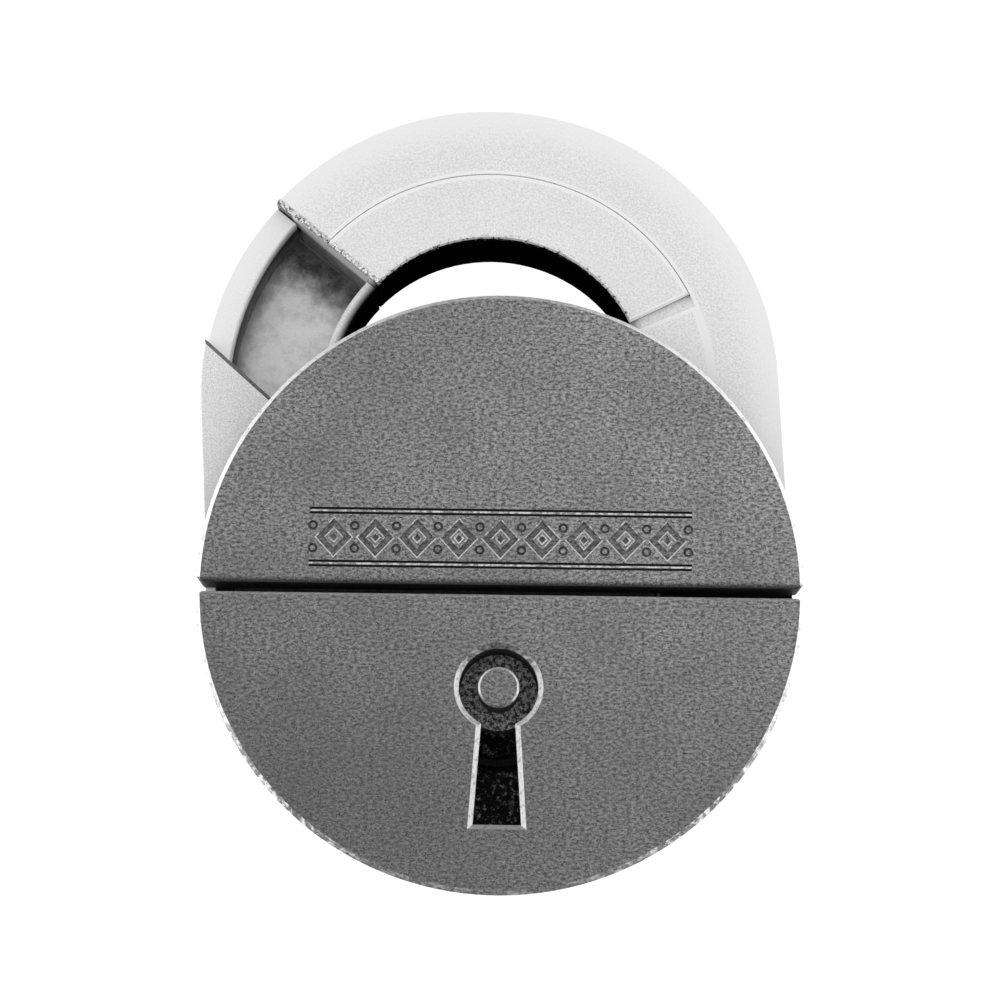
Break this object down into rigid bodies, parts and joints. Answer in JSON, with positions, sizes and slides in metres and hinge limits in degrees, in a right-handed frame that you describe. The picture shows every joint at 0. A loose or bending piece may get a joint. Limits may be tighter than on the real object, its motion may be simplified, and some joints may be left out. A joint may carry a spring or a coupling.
{
  "type": "disc padlock",
  "caption": "Round disc padlock with a split dark face, a barrel-key keyhole and a broad pale arch that swings open, bridged by a curved slider.",
  "frame": {"origin": "centre of the round disc, on the rear face", "axes": "+Z out of the front face with the keyhole, +Y from the disc towards the arch, +X to the right seen from the front; the padlock lies on its back"},
  "size_m": [0.0449, 0.0598, 0.012],
  "materials": {
    "dark_cast": "sand-blasted dark grey cast metal with bright worn edges",
    "pale_cast": "fine-grained pale satin cast alloy",
    "pin_steel": "turned steel",
    "screw_steel": "blackened steel",
    "black_plate": "blackened plate",
    "sleeve_steel": "dull mottled steel",
    "spring_steel": "tempered spring strip",
    "lock_brass": "machined brass",
    "curtain_steel": "dull dark steel"
  },
  "bodies": {
    "case": {"body_frame": "pale_cast", "upper_front_cover": "dark_cast", "lower_front_cover": "dark_cast", "rear_cover": "dark_cast", "horn_plate": "pale_cast", "horn_rivets": "pin_steel", "case_screws": "screw_steel", "inner_cap": "black_plate", "curtain_retainer": "black_plate", "drill_pin": "dark_cast", "ring_ward": "black_plate", "bolt_posts": "pin_steel", "lever_post": "pin_steel", "spring_block": "lock_brass", "lever_springs": "spring_steel", "heel_pin": "pin_steel", "sleeve_spring": "spring_steel"},
    "shackle": {"shackle_base": "pale_cast", "shackle_cover": "pale_cast", "shackle_rivets": "pin_steel", "heel_bush": "lock_brass"},
    "slider": {"slider": "pale_cast", "slider_stud": "pin_steel", "slider_spring": "spring_steel"},
    "bolt": {"bolt": "lock_brass", "bolt_stump": "lock_brass"},
    "lever_1": {"lever_1": "lock_brass"},
    "lever_2": {"lever_2": "lock_brass"},
    "lever_3": {"lever_3": "lock_brass"},
    "curtain": {"keyhole_curtain": "curtain_steel"},
    "dust_sleeve": {"dust_sleeve": "sleeve_steel"}
  },
  "joints": [
    {"name": "shackle_swing", "type": "hinge", "parent": "case", "child": "shackle", "pos_m": [0.01684, -0.00231, 0.00555], "axis": [0, 0, -1], "range_deg": [0, 75]},
    {"name": "slider_turn", "type": "hinge", "parent": "shackle", "child": "slider", "pos_m": [-0.00094, 0.01577, 0.00555], "axis": [0, 0, 1], "range_deg": [-3, 44]},
    {"name": "bolt_slide", "type": "slide", "parent": "case", "child": "bolt", "axis": [1, 0, 0], "range_m": [0, 0.0022]},
    {"name": "curtain_turn", "type": "hinge", "parent": "case", "child": "curtain", "pos_m": [0, -0.0072, 0.0076], "axis": [0, 0, 1], "continuous": true},
    {"name": "dust_sleeve_push", "type": "slide", "parent": "case", "child": "dust_sleeve", "axis": [0, 0, -1], "range_m": [0, 0.0055], "stiffness_N_per_m": 60, "deforming": ["sleeve_spring"]},
    {"name": "lever_1_lift", "type": "hinge", "parent": "case", "child": "lever_1", "pos_m": [-0.013, 0.0034, 0.0046], "axis": [0, 0, 1], "range_deg": [-3.5, 0]},
    {"name": "lever_2_lift", "type": "hinge", "parent": "case", "child": "lever_2", "pos_m": [-0.013, 0.0034, 0.00555], "axis": [0, 0, 1], "range_deg": [-3.5, 0]},
    {"name": "lever_3_lift", "type": "hinge", "parent": "case", "child": "lever_3", "pos_m": [-0.013, 0.0034, 0.0065], "axis": [0, 0, 1], "range_deg": [-3.5, 0]}
  ],
  "couplings": [
    {"joint": "lever_2_lift", "follows": "lever_1_lift", "ratio": 1},
    {"joint": "lever_3_lift", "follows": "lever_1_lift", "ratio": 1}
  ]
}
